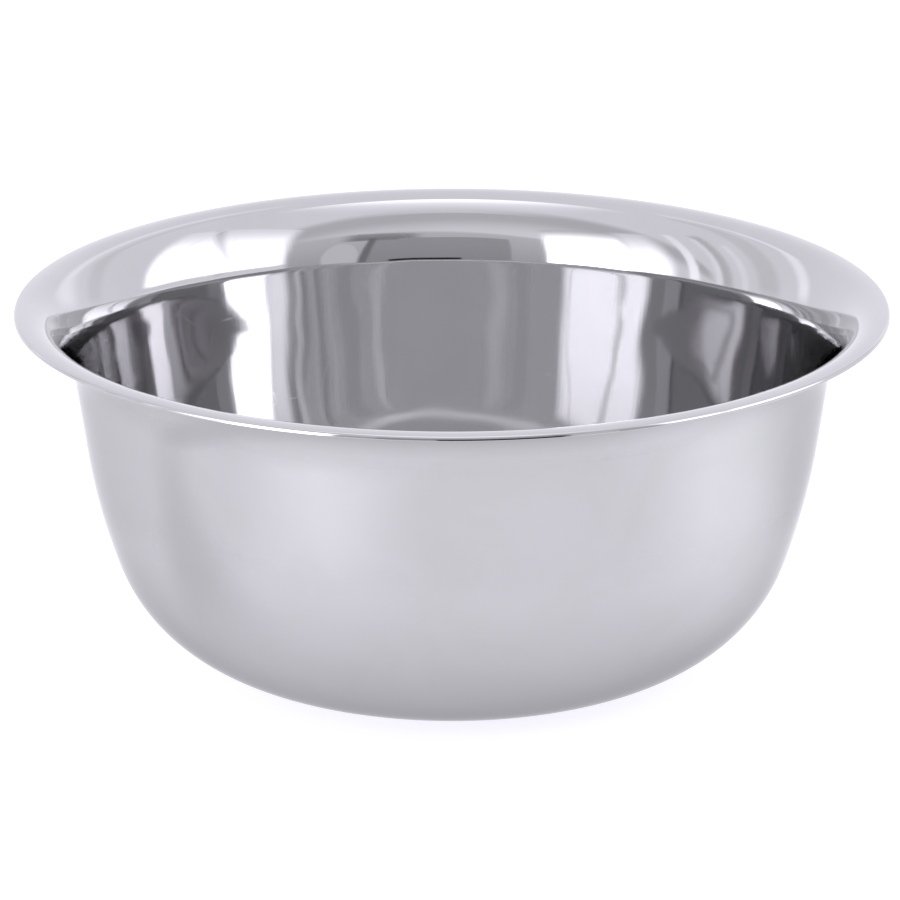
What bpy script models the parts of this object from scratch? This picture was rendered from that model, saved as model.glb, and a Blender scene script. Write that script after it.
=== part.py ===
"""Mixing bowl: one deep-drawn sheet of stainless steel with a wide flared rim.

The bowl stands on the plane z = 0, with its axis on +Z and its origin at the centre of its base.
In section its outer face is a chain of bends and straight runs, each tangent to the next, and
its inner face lies one sheet thickness inside that. Lengths are in metres, slopes in degrees.
"""
import math
from typing import NamedTuple

import bpy

# Driving dimensions
RIM_DIAMETER = 0.240
HEIGHT = 0.102
SHEET = 0.0009

# The wall's slope between the belly and the flare. 90 degrees would be upright.
WALL_SLOPE = 81.8

# The turned faces
TURN_STEPS = 72
EDGE_STEPS = 2
MERGE_DISTANCE = 0.00001

STEEL_COLOUR = (0.63, 0.63, 0.66, 1.0)
STEEL_ROUGHNESS = 0.22


class Bend(NamedTuple):
    """An arc of the outer face: its radius, the slope it ends at and its number of steps."""

    radius: float
    end_slope: float
    steps: int


# Bends that turn upwards, from the flat of the base to the foot of the wall
BASE_CORNER = Bend(0.063, 24.0, 3)
BELLY = Bend(0.045, 70.5, 6)
LOWER_WALL = Bend(0.168, WALL_SLOPE, 2)

# Bends that turn outwards, from the top of the wall to the edge of the rim
FLARE = Bend(0.027, 44.5, 5)
CREST = Bend(0.008, 0.0, 4)
DROOP = Bend(0.0095, -15.0, 2)

RISING_BENDS = (BASE_CORNER, BELLY, LOWER_WALL)
RIM_BENDS = (FLARE, CREST, DROOP)


def clear_scene():
    """Remove every object of the scene."""
    for item in list(bpy.data.objects):
        bpy.data.objects.remove(item, do_unlink=True)


def arc_move(bend, start_slope, end_slope):
    """Return the outward and upward travel along a bend between two slopes."""
    start = math.radians(start_slope)
    end = math.radians(end_slope)
    radius = math.copysign(bend.radius, bend.end_slope - start_slope)
    return radius * (math.sin(end) - math.sin(start)), radius * (math.cos(start) - math.cos(end))


def total_move(bends, start_slope):
    """Return the outward and upward travel of a chain of bends."""
    reach = 0.0
    rise = 0.0
    for bend in bends:
        step_out, step_up = arc_move(bend, start_slope, bend.end_slope)
        reach += step_out
        rise += step_up
        start_slope = bend.end_slope
    return reach, rise


def straight_runs():
    """Return the radius of the flat base and the length of the straight wall.

    The straight wall takes up what the bends leave of the height, and the flat of the base
    takes up what they leave of the rim's radius.
    """
    foot_reach, foot_rise = total_move(RISING_BENDS, 0.0)
    crest_rise = total_move((FLARE, CREST), WALL_SLOPE)[1]
    rim_reach = total_move(RIM_BENDS, WALL_SLOPE)[0]
    slope = math.radians(WALL_SLOPE)
    wall_length = (HEIGHT - SHEET - foot_rise - crest_rise) / math.sin(slope)
    edge_overhang = 0.5 * SHEET * (1.0 - math.sin(math.radians(DROOP.end_slope)))
    reach = foot_reach + wall_length * math.cos(slope) + rim_reach + edge_overhang
    return 0.5 * RIM_DIAMETER - reach, wall_length


def bend_stations(bend, start):
    """Return the stations (radius, height, slope) along a bend that follows a station."""
    radius, height, start_slope = start
    stations = []
    for index in range(1, bend.steps + 1):
        slope = start_slope + (bend.end_slope - start_slope) * index / bend.steps
        step_out, step_up = arc_move(bend, start_slope, slope)
        stations.append((radius + step_out, height + step_up, slope))
    return stations


def outer_stations():
    """Return the outer face's stations, from the axis to the underside of the rim's edge."""
    base_radius, wall_length = straight_runs()
    stations = [(0.0, 0.0, 0.0), (base_radius, 0.0, 0.0)]
    for bend in RISING_BENDS:
        stations += bend_stations(bend, stations[-1])
    radius, height, slope = stations[-1]
    angle = math.radians(slope)
    wall_top = (radius + wall_length * math.cos(angle), height + wall_length * math.sin(angle), slope)
    stations.append(wall_top)
    for bend in RIM_BENDS:
        stations += bend_stations(bend, stations[-1])
    return stations


def offset_point(station, distance):
    """Return the point at a distance above a station, square to the outer face."""
    radius, height, slope = station
    angle = math.radians(slope)
    return radius - distance * math.sin(angle), height + distance * math.cos(angle)


def edge_points(last_station):
    """Return the points round the rim's half-round edge, from its top to its underside."""
    centre_radius, centre_height = offset_point(last_station, 0.5 * SHEET)
    slope = last_station[2]
    directions = [(slope + 90.0) * (1.0 - index / EDGE_STEPS) for index in range(1, EDGE_STEPS + 1)]
    directions += [(slope - 90.0) * index / EDGE_STEPS for index in range(1, EDGE_STEPS)]
    points = []
    for direction in directions:
        angle = math.radians(direction)
        points.append((centre_radius + 0.5 * SHEET * math.cos(angle),
                       centre_height + 0.5 * SHEET * math.sin(angle)))
    return points


def section_points():
    """Return the section: out along the inner face, round the edge and back under the bowl."""
    stations = outer_stations()
    inner = [offset_point(station, SHEET) for station in stations]
    outer = [(radius, height) for radius, height, slope in stations]
    return inner + edge_points(stations[-1]) + outer[::-1]


def steel_material():
    """Return the plain stainless steel of the sheet."""
    material = bpy.data.materials.new("stainless_steel")
    material.use_nodes = True
    shader = material.node_tree.nodes["Principled BSDF"]
    shader.inputs["Base Color"].default_value = STEEL_COLOUR
    shader.inputs["Roughness"].default_value = STEEL_ROUGHNESS
    shader.inputs["Metallic"].default_value = 1.0
    material.diffuse_color = STEEL_COLOUR
    return material


def turned_object(name, points, material, collection):
    """Return a solid of revolution about +Z, made from a section in the XZ plane."""
    mesh = bpy.data.meshes.new(name)
    vertices = [(radius, 0.0, height) for radius, height in points]
    edges = [(index, index + 1) for index in range(len(points) - 1)]
    mesh.from_pydata(vertices, edges, [])
    mesh.materials.append(material)
    turned = bpy.data.objects.new(name, mesh)
    collection.objects.link(turned)
    screw = turned.modifiers.new("turn", 'SCREW')
    screw.axis = 'Z'
    screw.angle = math.tau
    screw.steps = TURN_STEPS
    screw.render_steps = TURN_STEPS
    screw.use_merge_vertices = True
    screw.merge_threshold = MERGE_DISTANCE
    screw.use_smooth_shade = True
    return turned


def build_bowl():
    """Build the bowl in its own collection."""
    clear_scene()
    collection = bpy.data.collections.new("mixing_bowl")
    bpy.context.scene.collection.children.link(collection)
    turned_object("bowl_shell", section_points(), steel_material(), collection)


build_bowl()
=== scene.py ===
"""Looks of a deep-drawn stainless steel mixing bowl with a wide flared rim.

The bowl is one sheet of steel. Its section is drawn bend by bend, spun about the Z axis and
given its thickness. The inside and the flange are polished, and the outside is satin.
"""
import logging
import math
from collections.abc import Callable, Iterable
from dataclasses import dataclass, field
from enum import Enum

import bmesh
import bpy
from mathutils import Matrix, Vector


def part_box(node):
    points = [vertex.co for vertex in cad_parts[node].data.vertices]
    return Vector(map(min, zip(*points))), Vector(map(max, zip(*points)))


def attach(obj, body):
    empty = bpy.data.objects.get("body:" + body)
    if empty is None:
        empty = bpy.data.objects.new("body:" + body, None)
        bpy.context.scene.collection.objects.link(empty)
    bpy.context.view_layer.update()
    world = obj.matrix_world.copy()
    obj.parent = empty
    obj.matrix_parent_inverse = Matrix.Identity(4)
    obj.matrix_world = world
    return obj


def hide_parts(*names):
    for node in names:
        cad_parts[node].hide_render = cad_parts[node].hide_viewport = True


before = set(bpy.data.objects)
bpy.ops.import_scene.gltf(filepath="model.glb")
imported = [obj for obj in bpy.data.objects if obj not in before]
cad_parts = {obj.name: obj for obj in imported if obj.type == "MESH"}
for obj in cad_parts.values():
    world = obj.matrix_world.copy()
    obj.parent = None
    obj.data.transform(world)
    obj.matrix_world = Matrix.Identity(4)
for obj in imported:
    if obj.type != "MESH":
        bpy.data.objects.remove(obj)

LOG = logging.getLogger("mixing_bowl")
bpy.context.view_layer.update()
MM = 0.001

Colour = tuple[float, float, float, float]


class Face(Enum):
    """The sides of the sheet that carry different finishes, by material index."""

    SATIN_OUTSIDE = 0
    POLISHED_INSIDE = 1


@dataclass(frozen=True)
class Bend:
    """An arc of the sheet's outer face.

    Attributes:
        radius: radius of the arc in metres.
        end_slope: slope above the horizontal where the arc ends, in degrees.
        steps: number of edges along the arc.
    """

    radius: float
    end_slope: float
    steps: int

    def move(self, start_slope: float) -> Vector:
        """Return the travel along the arc in the XZ plane.

        Args:
            start_slope: slope in degrees where the arc starts.

        Returns:
            The vector from the arc's start to its end.
        """
        start, end = math.radians(start_slope), math.radians(self.end_slope)
        radius = math.copysign(self.radius, self.end_slope - start_slope)
        return Vector((radius * (math.sin(end) - math.sin(start)), 0.0,
                       radius * (math.cos(start) - math.cos(end))))

    def centre(self, start: Vector, start_slope: float) -> Vector:
        """Return the arc's centre.

        Args:
            start: the arc's first point.
            start_slope: slope in degrees at that point.

        Returns:
            The centre, in the XZ plane.
        """
        angle = math.radians(start_slope)
        side = math.copysign(self.radius, self.end_slope - start_slope)
        return start + side * Vector((-math.sin(angle), 0.0, math.cos(angle)))


def total_move(bends: Iterable[Bend], slope: float) -> Vector:
    """Return the travel along a chain of bends.

    Args:
        bends: the bends in order.
        slope: slope in degrees where the first one starts.

    Returns:
        The vector from the chain's start to its end.
    """
    travel = Vector()
    for bend in bends:
        travel += bend.move(slope)
        slope = bend.end_slope
    return travel


def deselect_all() -> None:
    """Leave object mode with nothing selected."""
    if bpy.context.object and bpy.context.object.mode != 'OBJECT':
        bpy.ops.object.mode_set(mode='OBJECT')
    bpy.ops.object.select_all(action='DESELECT')


def select_vertices(target: bpy.types.Object, chosen: Callable[[Vector], bool]) -> None:
    """Select the vertices of a mesh in edit mode that meet a test.

    Args:
        target: the object being edited.
        chosen: a function of a vertex position that says whether to select it.
    """
    bpy.ops.mesh.select_all(action='DESELECT')
    edit = bmesh.from_edit_mesh(target.data)
    for vertex in edit.verts:
        vertex.select_set(chosen(vertex.co))
    edit.select_flush_mode()
    bmesh.update_edit_mesh(target.data)


@dataclass
class BowlShell:
    """The bowl: one sheet of steel, spun from its section about the Z axis.

    Lengths are in metres and angles in degrees. The flat of the base and the straight wall take
    up what the bends leave of the bowl's radius and height.

    Attributes:
        body: the CAD body that the bowl rides on.
        node: the CAD node that it replaces.
        sheet: the sheet's thickness.
        base_corner: first bend, up from the flat of the base.
        belly: second bend, round the belly.
        lower_wall: third bend, which ends at the straight wall's slope.
        flare: fourth bend, out from the straight wall.
        crest: fifth bend, over to the level top of the flange.
        droop: sixth bend, slightly down again.
        lip: last bend, sharply down at the edge.
        lip_face: length of the straight face after the lip.
        lip_round: width of the rounding on the cut edge's corners.
        sharp_angle: angle above which a corner is rounded.
        base_steps: number of edges along the flat of the base.
        wall_steps: number of edges along the straight wall.
        lip_steps: number of edges along the lip's face.
        round_steps: number of edges across the rounding.
        turn_steps: number of steps round the axis.
        merge: distance within which vertices are merged.
        pick_reach: distance within which the section's last vertex is found.
        wave_size: size of the waves that drawing leaves in the wall.
        wave_height: full height of those waves.
        wave_zone: shares of the bowl's height where they start, are full, fade and end.
    """

    body: str = "root"
    node: str = "bowl_shell"
    sheet: float = 0.9 * MM
    base_corner: Bend = Bend(63.0 * MM, 24.0, 8)
    belly: Bend = Bend(45.0 * MM, 70.5, 16)
    lower_wall: Bend = Bend(168.0 * MM, 81.8, 12)
    flare: Bend = Bend(27.0 * MM, 44.5, 16)
    crest: Bend = Bend(8.0 * MM, 0.0, 12)
    droop: Bend = Bend(12.0 * MM, -9.0, 4)
    lip: Bend = Bend(0.1 * MM, -78.0, 10)
    lip_face: float = 0.45 * MM
    lip_round: float = 0.2 * MM
    sharp_angle: float = 60.0
    base_steps: int = 6
    wall_steps: int = 8
    lip_steps: int = 2
    round_steps: int = 3
    turn_steps: int = 288
    merge: float = 0.001 * MM
    pick_reach: float = 0.01 * MM
    wave_size: float = 24.0 * MM
    wave_height: float = 0.20 * MM
    wave_zone: tuple[float, float, float, float] = (0.28, 0.52, 0.80, 0.93)

    @property
    def wall_slope(self) -> float:
        """Return the straight wall's slope, where the lower wall ends."""
        return self.lower_wall.end_slope

    @property
    def foot_bends(self) -> tuple[Bend, ...]:
        """Return the bends that turn upwards, from the base to the straight wall."""
        return self.base_corner, self.belly, self.lower_wall

    @property
    def rim_bends(self) -> tuple[Bend, ...]:
        """Return the bends that turn outwards and down, from the straight wall to the lip's face."""
        return self.flare, self.crest, self.droop, self.lip

    def straight_runs(self) -> tuple[float, float]:
        """Return the flat base's radius and the straight wall's length.

        Returns:
            The two lengths that the bends leave of the bowl's radius and height.
        """
        low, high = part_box(self.node)
        slope = math.radians(self.wall_slope)
        foot = total_move(self.foot_bends, 0.0)
        to_crest = total_move((self.flare, self.crest), self.wall_slope)
        to_lip_face = total_move(self.rim_bends, self.wall_slope)
        wall = (high.z - low.z - self.sheet - foot.z - to_crest.z) / math.sin(slope)
        lip_slope = math.radians(self.lip.end_slope)
        overhang = self.lip_face * math.cos(lip_slope) - self.sheet * math.sin(lip_slope)
        return high.x - foot.x - wall * math.cos(slope) - to_lip_face.x - overhang, wall

    def draw_section(self) -> bpy.types.Object:
        """Draw the outer face's section as a chain of edges in the XZ plane.

        Returns:
            The section, still in edit mode.
        """
        base_radius, wall_length = self.straight_runs()
        half_base = 0.5 * base_radius
        deselect_all()
        bpy.ops.mesh.primitive_plane_add(size=base_radius, location=(half_base, 0.0, 0.0))
        shell = bpy.context.object
        shell.name = shell.data.name = "drawn_steel_bowl"
        bpy.ops.object.transform_apply(location=True, rotation=False, scale=False)
        bpy.ops.object.mode_set(mode='EDIT')
        select_vertices(shell, lambda place: place.y > 0.0)
        bpy.ops.mesh.delete(type='VERT')
        bpy.ops.mesh.select_all(action='SELECT')
        bpy.ops.transform.translate(value=(0.0, half_base, 0.0))
        bpy.ops.mesh.subdivide(number_cuts=self.base_steps - 1)
        end = Vector((base_radius, 0.0, 0.0))
        end = self.draw_bends(shell, end, 0.0, self.foot_bends)
        end = self.draw_straight(shell, end, self.wall_slope, wall_length, self.wall_steps)
        end = self.draw_bends(shell, end, self.wall_slope, self.rim_bends)
        self.draw_straight(shell, end, self.lip.end_slope, self.lip_face, self.lip_steps)
        return shell

    def pick_end(self, shell: bpy.types.Object, end: Vector) -> None:
        """Select the section's last vertex."""
        select_vertices(shell, lambda place: (place - end).length < self.pick_reach)

    def draw_bends(self, shell: bpy.types.Object, end: Vector, slope: float,
                   bends: Iterable[Bend]) -> Vector:
        """Spin the section's last vertex round one bend after another.

        Args:
            shell: the section in edit mode.
            end: the last vertex's place.
            slope: the section's slope there, in degrees.
            bends: the bends to draw, in order.

        Returns:
            The new last vertex's place.
        """
        for bend in bends:
            self.pick_end(shell, end)
            bpy.ops.mesh.spin(steps=bend.steps, angle=math.radians(bend.end_slope - slope),
                              center=bend.centre(end, slope), axis=(0.0, 1.0, 0.0))
            end = end + bend.move(slope)
            slope = bend.end_slope
        return end

    def draw_straight(self, shell: bpy.types.Object, end: Vector, slope: float, length: float,
                      steps: int) -> Vector:
        """Extrude the section's last vertex along its slope.

        Args:
            shell: the section in edit mode.
            end: the last vertex's place.
            slope: the section's slope there, in degrees.
            length: the length of the run in metres.
            steps: the number of edges along it.

        Returns:
            The new last vertex's place.
        """
        angle = math.radians(slope)
        step = Vector((math.cos(angle), 0.0, math.sin(angle))) * (length / steps)
        self.pick_end(shell, end)
        for _ in range(steps):
            bpy.ops.mesh.extrude_region_move(TRANSFORM_OT_translate={"value": step})
        return end + step * steps

    def spin_shell(self, shell: bpy.types.Object) -> None:
        """Spin the section once round the Z axis, and close its seam and its pole.

        Args:
            shell: the section in edit mode, which is left in object mode.
        """
        bpy.ops.mesh.select_all(action='SELECT')
        bpy.ops.mesh.spin(steps=self.turn_steps, angle=math.tau, center=(0.0, 0.0, 0.0),
                          axis=(0.0, 0.0, 1.0))
        bpy.ops.mesh.select_all(action='SELECT')
        bpy.ops.mesh.remove_doubles(threshold=self.merge)
        bpy.ops.mesh.normals_make_consistent(inside=False)
        edit = bmesh.from_edit_mesh(shell.data)
        lowest = min(edit.faces, key=lambda face: face.calc_center_median().z)
        if lowest.normal.z > 0.0:
            bpy.ops.mesh.flip_normals()
        bpy.ops.object.mode_set(mode='OBJECT')

    def ripple(self, shell: bpy.types.Object) -> None:
        """Give the wall the faint waves of drawn sheet, and leave the base and the rim true.

        Args:
            shell: the spun outer face.
        """
        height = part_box(self.node)[1].z
        start, full, fade, end = self.wave_zone
        zone = shell.vertex_groups.new(name="drawn_wall")
        for vertex in shell.data.vertices:
            level = vertex.co.z / height
            rise = min(max((level - start) / (full - start), 0.0), 1.0)
            fall = min(max((end - level) / (end - fade), 0.0), 1.0)
            zone.add([vertex.index], rise * fall, 'REPLACE')
        waves = bpy.data.textures.new("drawn_waves", 'CLOUDS')
        waves.noise_scale = self.wave_size
        waves.noise_depth = 1
        displace = shell.modifiers.new("waves", 'DISPLACE')
        displace.texture = waves
        displace.texture_coords = 'LOCAL'
        displace.mid_level = 0.5
        displace.strength = self.wave_height
        displace.vertex_group = zone.name
        bpy.ops.object.modifier_apply(modifier=displace.name)
        shell.vertex_groups.clear()

    def thicken(self, shell: bpy.types.Object) -> None:
        """Give the sheet its thickness, inwards from the outer face, and round its cut edge.

        Args:
            shell: the outer face with its two materials.
        """
        solid = shell.modifiers.new("sheet", 'SOLIDIFY')
        solid.thickness = self.sheet
        solid.offset = -1.0
        solid.use_even_offset = True
        solid.material_offset = Face.POLISHED_INSIDE.value
        solid.material_offset_rim = Face.POLISHED_INSIDE.value
        bpy.ops.object.modifier_apply(modifier=solid.name)
        edge = shell.modifiers.new("edge", 'BEVEL')
        edge.width = self.lip_round
        edge.segments = self.round_steps
        edge.limit_method = 'ANGLE'
        edge.angle_limit = math.radians(self.sharp_angle)
        bpy.ops.object.modifier_apply(modifier=edge.name)
        bpy.ops.object.shade_smooth()

    def build(self) -> bpy.types.Object:
        """Build the finished bowl and fasten it to the frame.

        Returns:
            The bowl.
        """
        shell = self.draw_section()
        self.spin_shell(shell)
        self.ripple(shell)
        marks = SteelMarks()
        for face in Face:
            shell.data.materials.append(FINISHES[face].material(marks))
        self.thicken(shell)
        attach(shell, self.body)
        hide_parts(self.node)
        return shell


class Tree:
    """Short ways to add nodes to a node tree."""

    def __init__(self, tree: bpy.types.NodeTree) -> None:
        """Keep the node tree, of a material or of a group, that the nodes go into."""
        self.tree = tree

    @classmethod
    def of_material(cls, name: str) -> "tuple[bpy.types.Material, Tree]":
        """Start a node material.

        Args:
            name: the material's name.

        Returns:
            The material and a helper on its nodes.
        """
        material = bpy.data.materials.new(name)
        material.use_nodes = True
        return material, cls(material.node_tree)

    def node(self, kind: str, **settings: object) -> bpy.types.Node:
        """Add a node.

        Args:
            kind: the node's type, without the leading "ShaderNode".
            settings: the node's own settings.

        Returns:
            The node.
        """
        node = self.tree.nodes.new("ShaderNode" + kind)
        for name, value in settings.items():
            setattr(node, name, value)
        return node

    def put(self, socket: bpy.types.NodeSocket, value: object) -> None:
        """Set an input, or link it if the value is an output.

        Args:
            socket: the input socket.
            value: its value, or the output socket that feeds it.
        """
        if isinstance(value, bpy.types.NodeSocket):
            self.tree.links.new(value, socket)
        else:
            socket.default_value = value

    def feed(self, node: bpy.types.Node, **inputs: object) -> bpy.types.Node:
        """Set or link a node's inputs by name, with _ for a space.

        Args:
            node: the node.
            inputs: a value, or the output socket to link, for each input.

        Returns:
            The node.
        """
        for name, value in inputs.items():
            self.put(node.inputs[name.replace("_", " ")], value)
        return node

    def math(self, operation: str, *values: object) -> bpy.types.NodeSocket:
        """Add a Math node.

        Args:
            operation: the operation's name.
            values: its inputs in order, each a number or an output socket.

        Returns:
            The node's output.
        """
        node = self.node("Math", operation=operation)
        for socket, value in zip(node.inputs, values):
            self.put(socket, value)
        return node.outputs["Value"]

    def vector(self, operation: str, *values: object) -> bpy.types.Node:
        """Add a Vector Math node.

        Args:
            operation: the operation's name.
            values: its inputs in order, each a vector or an output socket.

        Returns:
            The node.
        """
        node = self.node("VectorMath", operation=operation)
        for socket, value in zip(node.inputs, values):
            self.put(socket, value)
        return node

    def ramp(self, value: bpy.types.NodeSocket, low: float, high: float, start: float = 0.0,
             end: float = 1.0) -> bpy.types.NodeSocket:
        """Map a value from low..high to start..end, smoothly and without overshoot.

        Args:
            value: the output to map.
            low: the value that gives start.
            high: the value that gives end.
            start: the result at low.
            end: the result at high.

        Returns:
            The mapped output.
        """
        node = self.node("MapRange", interpolation_type='SMOOTHSTEP')
        self.feed(node, Value=value, From_Min=low, From_Max=high, To_Min=start, To_Max=end)
        return node.outputs["Result"]

    def mix(self, factor: bpy.types.NodeSocket, first: Colour, second: Colour) -> bpy.types.NodeSocket:
        """Mix two colours.

        Args:
            factor: the share of the second colour.
            first: the first colour.
            second: the second colour.

        Returns:
            The mixed colour's output.
        """
        node = self.node("Mix", data_type='RGBA')
        self.put(node.inputs["Factor"], factor)
        colours = [socket for socket in node.inputs if socket.type == 'RGBA']
        for socket, colour in zip(colours, (first, second)):
            self.put(socket, colour)
        return next(socket for socket in node.outputs if socket.type == 'RGBA')

    def group(self, group: bpy.types.NodeTree, **inputs: float) -> bpy.types.NodeSocket:
        """Place a node group.

        Args:
            group: the group.
            inputs: a value for each of its inputs.

        Returns:
            The group's only output.
        """
        return self.feed(self.node("Group", node_tree=group), **inputs).outputs[0]


class SteelMarks:
    """The marks that both steel finishes share, each a node group that is built once."""

    def __init__(self) -> None:
        """Build the groups."""
        self.lines = self.line_group()
        self.clouds = self.cloud_group()
        self.scratches = self.scratch_group()

    def start(self, name: str, inputs: tuple[str, ...],
              output: str) -> tuple[Tree, bpy.types.Node, bpy.types.Node]:
        """Start a node group whose sockets are numbers.

        Args:
            name: the group's name.
            inputs: the names of its inputs.
            output: the name of its output.

        Returns:
            A helper on the group, its input node and its output node.
        """
        group = bpy.data.node_groups.new(name, 'ShaderNodeTree')
        for label in inputs:
            group.interface.new_socket(name=label, in_out='INPUT', socket_type='NodeSocketFloat')
        group.interface.new_socket(name=output, in_out='OUTPUT', socket_type='NodeSocketFloat')
        return Tree(group), group.nodes.new("NodeGroupInput"), group.nodes.new("NodeGroupOutput")

    def line_group(self) -> bpy.types.NodeTree:
        """Build fine lines on a turned sheet, stretched the way that varies least.

        Returns:
            The group. Around says how fast the lines vary round the axis, Along how fast they
            vary along the section, per metre, and Height runs from 0 to 1.
        """
        tree, given, output = self.start("turned_lines", ("Around", "Along"), "Height")
        place = tree.node("TexCoord").outputs["Object"]
        level = tree.vector('MULTIPLY', place, (1.0, 1.0, 0.0)).outputs["Vector"]
        radius = tree.vector('LENGTH', level).outputs["Value"]
        height = tree.feed(tree.node("SeparateXYZ"), Vector=place).outputs["Z"]
        turn = tree.node("SeparateXYZ")
        tree.feed(turn, Vector=tree.vector('NORMALIZE', level).outputs["Vector"])
        lines = tree.node("CombineXYZ")
        tree.feed(lines, X=tree.math('MULTIPLY', turn.outputs["X"], given.outputs["Around"]),
                  Y=tree.math('MULTIPLY', turn.outputs["Y"], given.outputs["Around"]),
                  Z=tree.math('MULTIPLY', tree.math('ADD', radius, height), given.outputs["Along"]))
        noise = tree.node("TexNoise", noise_dimensions='3D')
        tree.feed(noise, Vector=lines.outputs["Vector"], Scale=1.0, Detail=3.0, Roughness=0.6)
        tree.feed(output, Height=noise.outputs["Fac"])
        return tree.tree

    def cloud_group(self) -> bpy.types.NodeTree:
        """Build the soft patches that wiping and handling leave.

        Returns:
            The group, whose Mask runs from 0 on clean steel to 1 in a cloud.
        """
        tree, given, output = self.start("wiping_clouds", ("Scale",), "Mask")
        noise = tree.node("TexNoise", noise_dimensions='3D')
        tree.feed(noise, Vector=tree.node("TexCoord").outputs["Object"], Scale=given.outputs["Scale"],
                  Detail=4.0, Roughness=0.55, Distortion=0.6)
        tree.feed(output, Mask=tree.ramp(noise.outputs["Fac"], 0.38, 0.66))
        return tree.tree

    def scratch_group(self) -> bpy.types.NodeTree:
        """Build sparse hairline scratches, along the borders of warped cells.

        Returns:
            The group, whose Mask is 1 in a scratch.
        """
        tree, given, output = self.start("hairline_scratches", ("Scale", "Warp", "Width"), "Mask")
        place = tree.node("TexCoord").outputs["Object"]
        noise = tree.feed(tree.node("TexNoise", noise_dimensions='3D'), Vector=place, Scale=22.0)
        bent = tree.vector('MULTIPLY_ADD', noise.outputs["Color"], given.outputs["Warp"], place)
        cells = tree.node("TexVoronoi", feature='DISTANCE_TO_EDGE')
        tree.feed(cells, Vector=bent.outputs["Vector"], Scale=given.outputs["Scale"])
        thin = tree.ramp(cells.outputs["Distance"], 0.0, given.outputs["Width"], 1.0, 0.0)
        sparse = tree.node("TexNoise", noise_dimensions='3D')
        tree.feed(sparse, Vector=place, Scale=95.0, Detail=1.0)
        kept = tree.ramp(sparse.outputs["Fac"], 0.55, 0.68)
        tree.feed(output, Mask=tree.math('MULTIPLY', thin, kept))
        return tree.tree


@dataclass(frozen=True)
class SteelFinish:
    """One finish of the steel.

    Attributes:
        name: the material's name.
        colour: the steel's colour.
        cloud_colour: its colour in the wiping clouds.
        roughness: its roughness where it is clean.
        cloud_roughness: what a cloud adds to the roughness.
        scratch_roughness: what a scratch adds to the roughness.
        edge_tint: how far the steel brightens where it is seen at a glancing angle.
        ring_depth: depth of the polishing rings in metres.
        line_depth: depth of the draw lines in metres.
        ring_pitch: how fast the rings vary round the axis, and along the section per metre.
        line_pitch: how fast the draw lines vary, in the same way.
        cloud_scale: scale of the clouds.
        scratch_scale: scale of the scratches.
        scratch_warp: how far the scratches stray.
        scratch_width: width of a scratch, as a share of the cell that it borders.
    """

    name: str
    colour: Colour
    cloud_colour: Colour
    roughness: float
    cloud_roughness: float
    scratch_roughness: float
    edge_tint: float
    ring_depth: float
    line_depth: float
    ring_pitch: tuple[float, float] = (0.9, 1800.0)
    line_pitch: tuple[float, float] = (42.0, 14.0)
    cloud_scale: float = 34.0
    scratch_scale: float = 46.0
    scratch_warp: float = 0.05
    scratch_width: float = 0.012

    def material(self, marks: SteelMarks) -> bpy.types.Material:
        """Return the finish's material.

        Args:
            marks: the shared node groups.

        Returns:
            The material.
        """
        material, nodes = Tree.of_material(self.name)
        clouds = nodes.group(marks.clouds, Scale=self.cloud_scale)
        scratches = nodes.group(marks.scratches, Scale=self.scratch_scale, Warp=self.scratch_warp,
                                Width=self.scratch_width)
        rings = nodes.group(marks.lines, Around=self.ring_pitch[0], Along=self.ring_pitch[1])
        lines = nodes.group(marks.lines, Around=self.line_pitch[0], Along=self.line_pitch[1])
        worn = nodes.math('MULTIPLY_ADD', clouds, self.cloud_roughness, self.roughness)
        rough = nodes.math('MULTIPLY_ADD', scratches, self.scratch_roughness, worn)
        ring_bump = nodes.feed(nodes.node("Bump"), Height=rings, Distance=self.ring_depth)
        line_bump = nodes.feed(nodes.node("Bump"), Height=lines, Distance=self.line_depth,
                               Normal=ring_bump.outputs["Normal"])
        nodes.feed(nodes.tree.nodes["Principled BSDF"], Metallic=1.0, Roughness=rough,
                   Base_Color=nodes.mix(clouds, self.colour, self.cloud_colour),
                   Specular_Tint=(*(self.edge_tint,) * 3, 1.0), Normal=line_bump.outputs["Normal"])
        return material


FINISHES = {
    Face.SATIN_OUTSIDE: SteelFinish(
        "satin_steel", (0.48, 0.478, 0.482, 1.0), (0.465, 0.465, 0.465, 1.0), roughness=0.09,
        cloud_roughness=0.03, scratch_roughness=0.08, edge_tint=0.72, ring_depth=0.001 * MM,
        line_depth=0.001 * MM),
    Face.POLISHED_INSIDE: SteelFinish(
        "polished_steel", (0.475, 0.472, 0.477, 1.0), (0.462, 0.46, 0.464, 1.0), roughness=0.04,
        cloud_roughness=0.02, scratch_roughness=0.10, edge_tint=1.0, ring_depth=0.0003 * MM,
        line_depth=0.005 * MM),
}


@dataclass(frozen=True)
class Panel:
    """A studio panel that stands upright and faces the bowl.

    Attributes:
        name: the panel's name.
        sides: azimuths of its two sides, in degrees from +Y towards +X.
        rise: elevations of its lower and upper edges at its middle, in degrees.
        glow: radiance at its lower and upper edges.
        soft: shares of its width and of its height over which its edges fade out.
        lean: turn in its own plane, in degrees.
        distance: level distance from the bowl in metres.
        disc: whether it is a disc.
    """

    name: str
    sides: tuple[float, float]
    rise: tuple[float, float]
    glow: tuple[float, float]
    soft: tuple[float, float] = (0.04, 0.04)
    lean: float = 0.0
    distance: float = 5.0
    disc: bool = False


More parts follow.
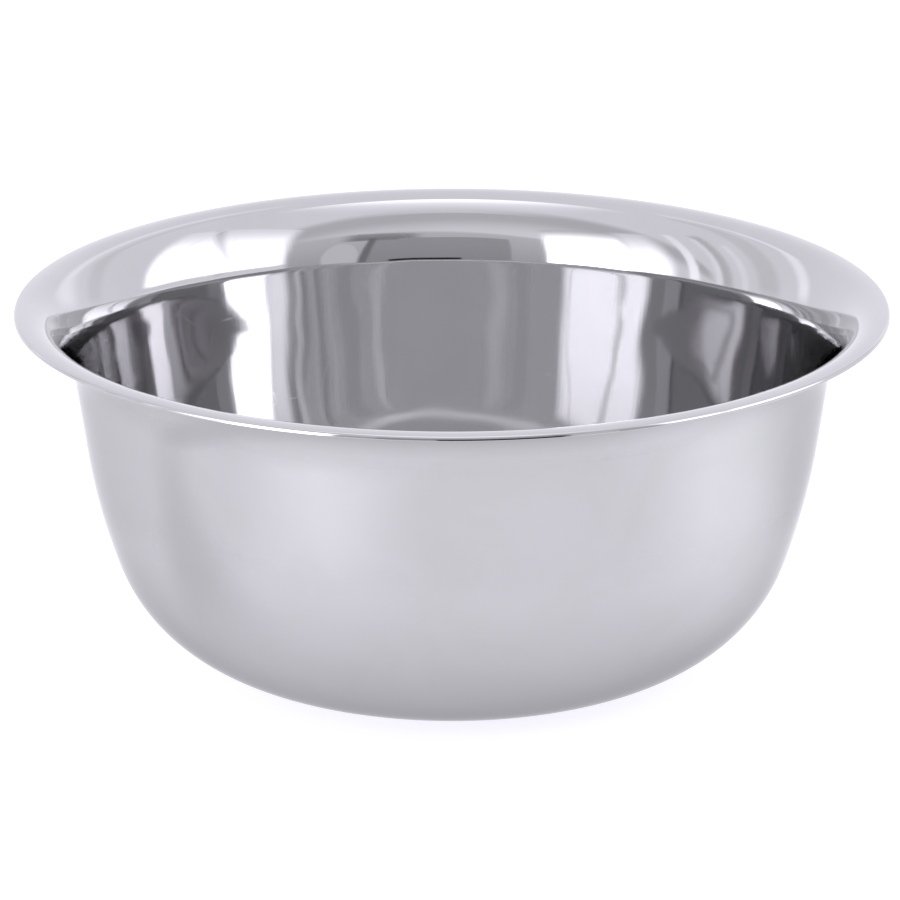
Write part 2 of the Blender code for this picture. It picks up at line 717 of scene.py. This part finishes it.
PANELS = (
    Panel("soft_box_left", (209.0, 241.0), (2.0, 44.5), (9.0, 0.9), (0.14, 0.05)),
    Panel("diffuser_left", (234.0, 257.0), (2.0, 45.0), (3.4, 1.2), (0.4, 0.08), distance=5.1),
    Panel("soft_box_right", (68.0, 127.0), (9.5, 50.0), (4.0, 1.4), (0.14, 0.05)),
    Panel("frame_bar_near", (93.0, 101.0), (10.0, 51.0), (2.2, 1.0), (0.48, 0.02), 24.4, 4.8),
    Panel("frame_bar_far", (79.0, 81.5), (10.0, 51.0), (2.8, 1.4), (0.45, 0.02), -13.1, 4.8),
    Panel("edge_strip_left", (259.5, 265.0), (2.0, 46.0), (1.9, 1.5), (0.3, 0.1)),
    Panel("edge_strip_far", (270.0, 274.5), (2.0, 44.0), (1.42, 1.36), (0.4, 0.1)),
    Panel("edge_strip_end", (281.0, 286.0), (2.0, 40.0), (1.40, 1.36), (0.4, 0.1)),
    Panel("rear_shade", (270.5, 279.5), (2.0, 46.0), (0.9, 0.9), (0.4, 0.1), distance=5.2),
    Panel("rear_dim", (288.0, 302.0), (2.0, 60.0), (1.05, 1.1), (0.3, 0.1)),
    Panel("rear_strip_left", (308.5, 317.5), (2.0, 62.0), (1.62, 1.5), (0.42, 0.1)),
    Panel("rear_strip_right", (20.0, 37.0), (2.0, 62.0), (1.5, 1.42), (0.45, 0.1)),
    Panel("rear_gap_right", (38.0, 50.0), (2.0, 62.0), (1.1, 1.15), (0.4, 0.1)),
    Panel("dim_front", (124.0, 212.0), (-8.0, 42.0), (0.66, 0.88), (0.07, 0.12), distance=5.2),
    Panel("shade_front", (152.0, 199.0), (-8.0, 33.0), (0.48, 0.56), (0.01, 0.01), distance=4.8),
    Panel("shade_brow", (141.0, 172.0), (30.0, 39.5), (0.36, 0.56), (0.25, 0.2), distance=4.9),
    Panel("stand_front", (150.5, 154.0), (-8.0, 34.0), (0.3, 0.3), (0.3, 0.02), -3.0, 4.6),
    Panel("dark_front_edge", (156.0, 183.5), (-9.3, 13.0), (0.03, 0.03), (0.03, 0.02), distance=0.36),
    Panel("reflector", (138.0, 150.5), (-10.0, 28.5), (0.95, 0.95), (0.02, 0.02), distance=4.6,
          disc=True),
    Panel("ceiling_gap", (100.0, 270.0), (35.0, 70.0), (0.84, 0.82), (0.25, 0.42), distance=5.4),
)


@dataclass(frozen=True)
class FloorGlow:
    """A soft oval patch of light or shade on the floor, which only reflections show.

    Attributes:
        name: the patch's name.
        place: its middle on the floor in metres.
        reach: its half length and half width in metres.
        glow: radiance at its middle and at its edge.
        soft: share of its radius over which it fades out.
        azimuth: direction of its length, in degrees from +Y towards +X.
    """

    name: str
    place: tuple[float, float]
    reach: tuple[float, float]
    glow: tuple[float, float]
    soft: float
    azimuth: float = 0.0


FLOOR_GLOWS = (
    FloorGlow("contact_shade", (0.0, 0.0), (0.17, 0.17), (0.58, 1.3), 0.2),
    FloorGlow("box_glow_left", (-0.130, -0.205), (0.15, 0.11), (1.54, 1.45), 0.85, 212.0),
    FloorGlow("box_glow_right", (0.207, -0.050), (0.15, 0.13), (1.54, 1.45), 0.85, 102.0),
    FloorGlow("bowl_shade_left", (-0.150, -0.054), (0.14, 0.042), (1.04, 1.1), 0.8, 280.0),
)


@dataclass
class Studio:
    """The plain pale floor, the soft light and the camera.

    Lengths are in metres and angles in degrees.

    Attributes:
        aim: the point that the camera and the panels face.
        surround: colour of all the light.
        surround_glow: radiance all round.
        floor_radius: radius of the floor.
        floor_drop: how far the floor lies below the bowl's base, so that their faces don't meet.
        floor_sides: number of the floor's sides.
        floor_albedo: share of the light that the floor gives back.
        floor_glow: radiance of the floor itself, which keeps it pale.
        floor_roughness: roughness of the floor.
        patch_gap: height between one patch on the floor and the next.
        patch_sides: number of a patch's sides.
        disc_sides: number of a disc panel's sides.
        near_limit: distance within which a panel shows in mirror reflections only.
        overhead_place: middle of the overhead panel.
        overhead_size: length and width of the overhead panel.
        overhead_glow: its radiance at its near and far edges.
        overhead_soft: shares of its length and width over which its edges fade out.
        mirror_bounces: number of mirror reflections that are followed.
        camera_distance: distance of the camera from the aim point.
        camera_elevation: its elevation above the horizontal.
        camera_clip: nearest and farthest distances that it shows.
        lens: its focal length in millimetres.
        sensor: its sensor's width in millimetres.
    """

    aim: Vector = field(default_factory=lambda: Vector((-0.0005, 0.0, 0.0592)))
    surround: Colour = (1.0, 0.99, 1.07, 1.0)
    surround_glow: float = 1.23
    floor_radius: float = 9.0
    floor_drop: float = 0.2 * MM
    floor_sides: int = 96
    floor_albedo: float = 0.34
    floor_glow: float = 0.80
    floor_roughness: float = 0.9
    patch_gap: float = 0.03 * MM
    patch_sides: int = 64
    disc_sides: int = 48
    near_limit: float = 1.0
    overhead_place: tuple[float, float, float] = (0.0, -1.1, 6.0)
    overhead_size: tuple[float, float] = (6.0, 3.8)
    overhead_glow: tuple[float, float] = (1.1, 2.4)
    overhead_soft: tuple[float, float] = (0.46, 0.04)
    mirror_bounces: int = 9
    camera_distance: float = 1.44
    camera_elevation: float = 18.1
    camera_clip: tuple[float, float] = (0.05, 50.0)
    lens: float = 208.0
    sensor: float = 36.0

    def floor(self) -> None:
        """Lay the floor."""
        deselect_all()
        bpy.ops.mesh.primitive_circle_add(vertices=self.floor_sides, radius=self.floor_radius,
                                          fill_type='NGON', location=(0.0, 0.0, -self.floor_drop))
        floor = bpy.context.object
        floor.name = "studio_floor"
        material, nodes = Tree.of_material("floor_white")
        nodes.feed(nodes.tree.nodes["Principled BSDF"], Roughness=self.floor_roughness,
                   Base_Color=(*(self.floor_albedo,) * 3, 1.0), Specular_IOR_Level=0.0,
                   Emission_Color=self.surround, Emission_Strength=self.floor_glow)
        floor.data.materials.append(material)

    def panel_material(self, name: str, glow: tuple[float, float],
                       soft: tuple[float, float]) -> bpy.types.Material:
        """Return a panel's glowing material with soft edges.

        Args:
            name: the material's name.
            glow: radiance at the panel's lower and upper edges.
            soft: shares of the panel's width and height over which its edges fade out.

        Returns:
            The material.
        """
        material, nodes = Tree.of_material(name)
        place = nodes.feed(nodes.node("SeparateXYZ"), Vector=nodes.node("TexCoord").outputs["UV"])
        across, up = place.outputs["X"], place.outputs["Y"]
        side = nodes.ramp(nodes.math('PINGPONG', across, 0.5), 0.0, soft[0])
        ends = nodes.ramp(nodes.math('PINGPONG', up, 0.5), 0.0, soft[1])
        self.veil(nodes, nodes.math('MULTIPLY', side, ends), nodes.ramp(up, 0.0, 1.0, *glow))
        return material

    def patch_material(self, patch: FloorGlow) -> bpy.types.Material:
        """Return the material of a patch on the floor.

        Args:
            patch: the patch.

        Returns:
            The material.
        """
        material, nodes = Tree.of_material(patch.name)
        away = nodes.vector('LENGTH', nodes.node("TexCoord").outputs["Object"]).outputs["Value"]
        cover = nodes.ramp(away, 1.0 - patch.soft, 1.0, 1.0, 0.0)
        self.veil(nodes, cover, nodes.ramp(away, 0.0, 1.0, *patch.glow))
        return material

    def veil(self, nodes: Tree, cover: bpy.types.NodeSocket, glow: bpy.types.NodeSocket) -> None:
        """End a material with a glow that lets through what its cover leaves.

        Args:
            nodes: a helper on the material's nodes.
            cover: the share of the glow.
            glow: the radiance.
        """
        nodes.tree.nodes.remove(nodes.tree.nodes["Principled BSDF"])
        light = nodes.feed(nodes.node("Emission"), Color=self.surround, Strength=glow)
        blend = nodes.feed(nodes.node("MixShader"), Fac=cover)
        nodes.put(blend.inputs[1], nodes.node("BsdfTransparent").outputs["BSDF"])
        nodes.put(blend.inputs[2], light.outputs["Emission"])
        nodes.feed(nodes.tree.nodes["Material Output"], Surface=blend.outputs["Shader"])

    def patch(self, patch: FloorGlow, height: float) -> None:
        """Lay one patch on the floor.

        Args:
            patch: the patch.
            height: its height in metres.
        """
        deselect_all()
        bpy.ops.mesh.primitive_circle_add(vertices=self.patch_sides, radius=1.0, fill_type='NGON',
                                          location=(*patch.place, height),
                                          rotation=(0.0, 0.0, math.radians(90.0 - patch.azimuth)))
        card = bpy.context.object
        card.name = patch.name
        card.scale = (*patch.reach, 1.0)
        card.data.materials.append(self.patch_material(patch))
        card.visible_camera = False
        card.visible_diffuse = False
        card.visible_shadow = False

    def hang(self, name: str, glow: tuple[float, float], soft: tuple[float, float]) -> None:
        """Name the active panel, make it glow and hide it from the camera itself.

        Args:
            name: the panel's name.
            glow: radiance at its lower and upper edges.
            soft: shares of its width and height over which its edges fade out.
        """
        panel = bpy.context.object
        panel.name = name
        panel.data.materials.append(self.panel_material(name, glow, soft))
        panel.visible_camera = False

    def stand_point(self, azimuth: float, elevation: float, distance: float) -> Vector:
        """Return a point on an upright cylinder round the aim point.

        Args:
            azimuth: degrees from +Y towards +X.
            elevation: degrees above the horizontal, seen from the aim point.
            distance: level distance from the aim point in metres.

        Returns:
            The point.
        """
        side = math.radians(azimuth)
        rise = math.tan(math.radians(elevation))
        return self.aim + distance * Vector((math.sin(side), math.cos(side), rise))

    def panel(self, panel: Panel) -> None:
        """Stand one panel.

        Args:
            panel: the panel.
        """
        deselect_all()
        middle = 0.5 * (panel.sides[0] + panel.sides[1])
        foot = self.stand_point(middle, panel.rise[0], panel.distance)
        top = self.stand_point(middle, panel.rise[1], panel.distance)
        half_turn = math.radians(0.5 * (panel.sides[1] - panel.sides[0]))
        if panel.disc:
            bpy.ops.mesh.primitive_circle_add(vertices=self.disc_sides, radius=0.5, fill_type='NGON',
                                              calc_uvs=True, location=0.5 * (foot + top))
        else:
            bpy.ops.mesh.primitive_plane_add(size=1.0, location=0.5 * (foot + top))
        card = bpy.context.object
        card.scale = (2.0 * panel.distance * math.tan(half_turn), (top - foot).length, 1.0)
        facing = Matrix.Rotation(-math.radians(middle), 4, 'Z') @ Matrix.Rotation(0.5 * math.pi, 4, 'X')
        lean = Matrix.Rotation(math.radians(panel.lean), 4, 'Z')
        card.rotation_euler = (facing @ lean).to_euler()
        card.visible_diffuse = panel.distance > self.near_limit
        self.hang(panel.name, panel.glow, panel.soft)

    def overhead(self) -> None:
        """Hang the soft panel over the bowl, reaching towards the camera."""
        deselect_all()
        bpy.ops.mesh.primitive_plane_add(size=1.0, location=self.overhead_place)
        bpy.context.object.scale = (*self.overhead_size, 1.0)
        self.hang("overhead_panel", self.overhead_glow, self.overhead_soft)

    def light(self) -> None:
        """Light the studio softly from all round."""
        world = bpy.data.worlds.new("studio")
        bpy.context.scene.world = world
        world.use_nodes = True
        background = world.node_tree.nodes["Background"]
        background.inputs["Color"].default_value = self.surround
        background.inputs["Strength"].default_value = self.surround_glow
        for panel in PANELS:
            self.panel(panel)
        self.overhead()

    def camera(self) -> None:
        """Stand the camera."""
        data = bpy.data.cameras.new("camera")
        data.lens = self.lens
        data.sensor_width = self.sensor
        data.clip_start, data.clip_end = self.camera_clip
        camera = bpy.data.objects.new("camera", data)
        bpy.context.scene.collection.objects.link(camera)
        rise = math.radians(self.camera_elevation)
        away = Vector((0.0, -math.cos(rise), math.sin(rise)))
        camera.location = self.aim + self.camera_distance * away
        camera.rotation_mode = 'QUATERNION'
        camera.rotation_quaternion = (-away).to_track_quat('-Z', 'Y')
        bpy.context.scene.camera = camera

    def build(self) -> None:
        """Build the studio."""
        self.floor()
        for index, patch in enumerate(FLOOR_GLOWS, start=1):
            self.patch(patch, index * self.patch_gap - self.floor_drop)
        self.light()
        self.camera()
        bpy.context.scene.view_settings.view_transform = 'Standard'
        bpy.context.scene.cycles.glossy_bounces = self.mirror_bounces


def main() -> None:
    """Build the bowl and its studio, and report each piece."""
    logging.basicConfig(level=logging.INFO, format="%(name)s: %(message)s")
    shell = BowlShell().build()
    LOG.info("%s: %d faces", shell.name, len(shell.data.polygons))
    Studio().build()


if __name__ == "__main__":
    main()
